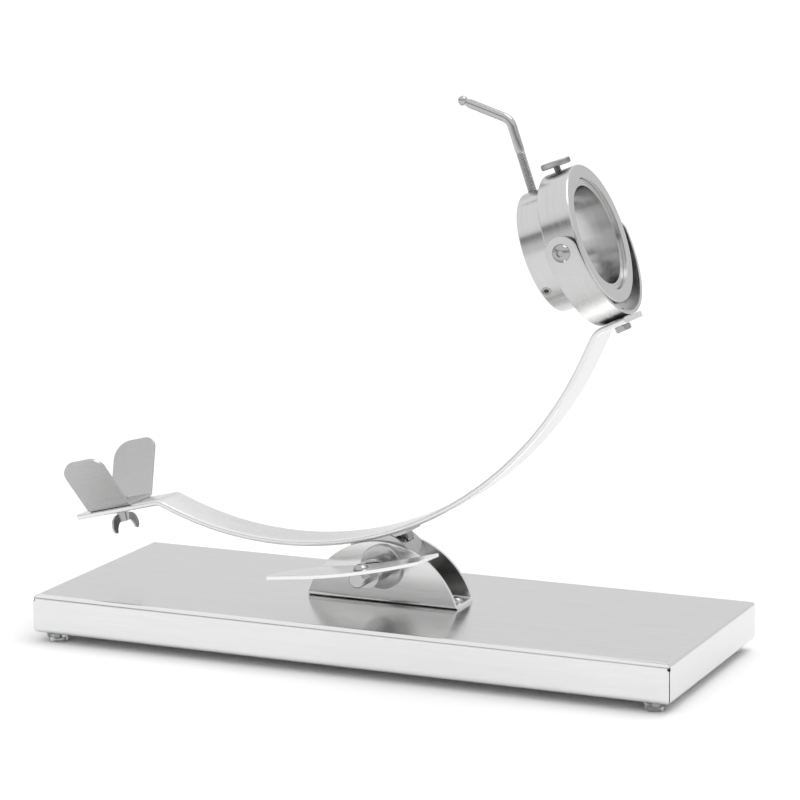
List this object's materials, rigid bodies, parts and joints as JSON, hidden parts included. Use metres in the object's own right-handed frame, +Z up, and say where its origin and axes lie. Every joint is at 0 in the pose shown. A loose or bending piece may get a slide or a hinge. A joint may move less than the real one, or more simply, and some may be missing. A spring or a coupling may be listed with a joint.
{
  "type": "ham holder stand",
  "caption": "Tabletop stand with a folded steel base, a tilting curved bar, a butt cradle and a turning clamp ring that hold a cured ham for carving.",
  "frame": {"origin": "on the floor under the centre of the base", "axes": "+X along the base towards the clamp ring, -Y towards the pivot's clamp lever, +Z up"},
  "size_m": [0.6063, 0.217, 0.4854],
  "materials": {
    "base_steel": "fine satin, almost mirror on top",
    "bracket_steel": "satin",
    "bar_steel": "satin, brushed along the bar",
    "lever_steel": "polished satin",
    "turned_steel": "fine turned",
    "ring_steel": "brushed round the rim",
    "cradle_steel": "satin",
    "fastener_steel": "bright",
    "foot_plastic": "clear, soft",
    "plug_plastic": "plain"
  },
  "bodies": {
    "base": {"base_tray": "base_steel", "feet": "foot_plastic", "foot_screws": "fastener_steel", "foot_nuts": "fastener_steel", "stiffener_plate": "bracket_steel", "pivot_bracket": "bracket_steel", "bracket_screws": "fastener_steel", "bracket_nuts": "fastener_steel", "front_clamp_disc": "turned_steel", "rear_clamp_disc": "turned_steel", "pivot_nut": "fastener_steel"},
    "clamp_lever": {"clamp_spindle": "turned_steel", "lever_bar": "lever_steel", "lever_screw": "fastener_steel"},
    "arm": {"arm_bar": "bar_steel", "arm_saddle": "turned_steel", "arm_studs": "fastener_steel", "arm_nuts": "fastener_steel", "yoke_bolt": "fastener_steel", "yoke_nut": "fastener_steel"},
    "cradle_carriage": {"cradle_bolt": "fastener_steel"},
    "cradle": {"cradle": "cradle_steel"},
    "cradle_washer": {"cradle_washer": "fastener_steel"},
    "wing_nut": {"wing_nut": "fastener_steel"},
    "yoke": {"yoke": "bar_steel"},
    "ring": {"ring_housing": "ring_steel", "pivot_screws": "fastener_steel", "pivot_spacers": "turned_steel"},
    "collar": {"clamp_collar": "ring_steel", "end_ring": "ring_steel"},
    "clamp_pad": {"clamp_pad": "turned_steel"},
    "clamp_screw": {"clamp_screw": "turned_steel"},
    "front_set_screw": {"front_set_screw": "fastener_steel"},
    "rear_set_screw": {"rear_set_screw": "fastener_steel"},
    "brake_plug": {"brake_plug": "plug_plastic"},
    "thumb_screw": {"thumb_screw": "turned_steel"}
  },
  "joints": [
    {"name": "lever_turn", "type": "hinge", "parent": "base", "child": "clamp_lever", "pos_m": [0.002, 0, 0.0762], "axis": [0, 1, 0], "range_deg": [-14, 42]},
    {"name": "arm_tilt", "type": "hinge", "parent": "base", "child": "arm", "pos_m": [0.002, 0, 0.0762], "axis": [0, 1, 0], "range_deg": [0, 22]},
    {"name": "cradle_slide", "type": "slide", "parent": "arm", "child": "cradle_carriage", "axis": [0.9703, 0, 0.2419], "range_m": [-0.019, 0.019]},
    {"name": "cradle_turn", "type": "hinge", "parent": "cradle_carriage", "child": "cradle", "pos_m": [-0.2704, 0, 0.10428], "axis": [-0.2419, 0, 0.9703], "range_deg": [-30, 30]},
    {"name": "cradle_washer_slide", "type": "slide", "parent": "cradle_carriage", "child": "cradle_washer", "axis": [-0.2419, 0, 0.9703], "range_m": [-0.0021, 0]},
    {"name": "wing_nut_turn", "type": "hinge", "parent": "cradle_washer", "child": "wing_nut", "pos_m": [-0.26798, 0, 0.09457], "axis": [-0.2419, 0, 0.9703], "range_deg": [-720, 0]},
    {"name": "yoke_turn", "type": "hinge", "parent": "arm", "child": "yoke", "pos_m": [0.21533, 0, 0.3036], "axis": [-0.4163, 0, 0.9092], "range_deg": [-28, 22]},
    {"name": "ring_tilt", "type": "hinge", "parent": "yoke", "child": "ring", "pos_m": [0.1869, 0, 0.3657], "axis": [-0.0523, 0.9983, -0.024], "range_deg": [-16, 35]},
    {"name": "collar_turn", "type": "hinge", "parent": "ring", "child": "collar", "pos_m": [0.18518, 0.00002, 0.37029], "axis": [0.9352, 0.0574, 0.3495], "range_deg": [-150, 150]},
    {"name": "clamp_pad_slide", "type": "slide", "parent": "collar", "child": "clamp_pad", "axis": [-0.3535, 0.0911, 0.931], "range_m": [-0.0251, 0.0101]},
    {"name": "clamp_screw_turn", "type": "hinge", "parent": "clamp_pad", "child": "clamp_screw", "pos_m": [0.15479, -0.00185, 0.35893], "axis": [-0.3535, 0.0911, 0.931], "range_deg": [-7200, 2880]},
    {"name": "front_set_screw_slide", "type": "slide", "parent": "collar", "child": "front_set_screw", "axis": [0.2483, -0.8101, -0.5311], "range_m": [-0.007, 0.005]},
    {"name": "rear_set_screw_slide", "type": "slide", "parent": "collar", "child": "rear_set_screw", "axis": [0.2156, 0.6905, -0.6904], "range_m": [-0.007, 0.005]},
    {"name": "brake_plug_slide", "type": "slide", "parent": "ring", "child": "brake_plug", "axis": [-0.3503, 0.0041, 0.9366], "range_m": [0, 0.0021]},
    {"name": "thumb_screw_turn", "type": "hinge", "parent": "brake_plug", "child": "thumb_screw", "pos_m": [0.18191, -0.00018, 0.36907], "axis": [-0.3503, 0.0041, 0.9366], "range_deg": [0, 720]}
  ],
  "couplings": [
    {"joint": "cradle_washer_slide", "follows": "wing_nut_turn", "m_per_rad": 0.00015915},
    {"joint": "clamp_pad_slide", "follows": "clamp_screw_turn", "m_per_rad": 0.00019894},
    {"joint": "brake_plug_slide", "follows": "thumb_screw_turn", "m_per_rad": 0.00015915}
  ]
}
